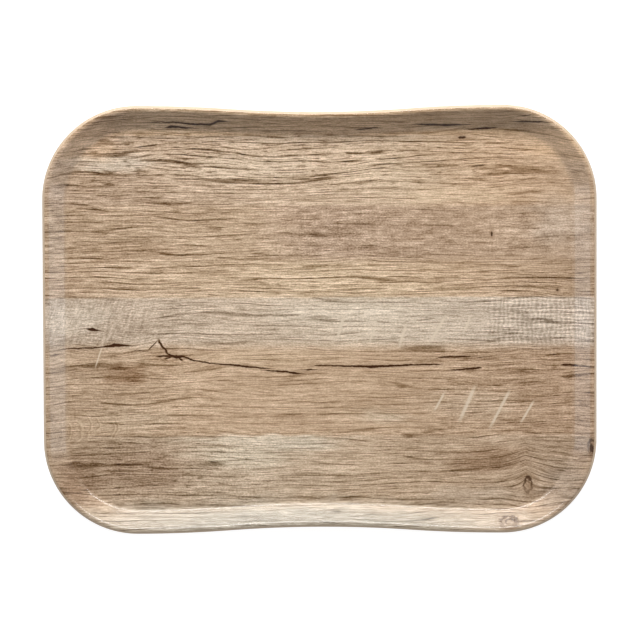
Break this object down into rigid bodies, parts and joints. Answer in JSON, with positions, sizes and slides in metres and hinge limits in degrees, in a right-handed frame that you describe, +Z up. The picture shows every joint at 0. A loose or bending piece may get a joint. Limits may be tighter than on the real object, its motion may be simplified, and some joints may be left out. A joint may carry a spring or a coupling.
{
  "type": "serving tray",
  "caption": "Shallow oblong serving tray with rounded corners, waisted long sides and a sloping rim, pressed from thin wood veneers between a wood-print face and a backing sheet.",
  "frame": {"origin": "under the middle of the tray, on the surface it stands on", "axes": "+X along the length, +Y across the width, +Z up out of the well"},
  "size_m": [0.43, 0.333, 0.017],
  "materials": {
    "clear_overlay": "satin",
    "wood_print": "satin",
    "birch_long_grain": "satin",
    "birch_cross_grain": "satin",
    "backing_paper": "satin"
  },
  "bodies": {
    "root": {"wear_overlay": "clear_overlay", "decor_sheet": "wood_print", "face_veneer": "birch_long_grain", "upper_cross_veneer": "birch_cross_grain", "centre_veneer": "birch_long_grain", "lower_cross_veneer": "birch_cross_grain", "back_veneer": "birch_long_grain", "backing_sheet": "backing_paper"}
  },
  "joints": []
}
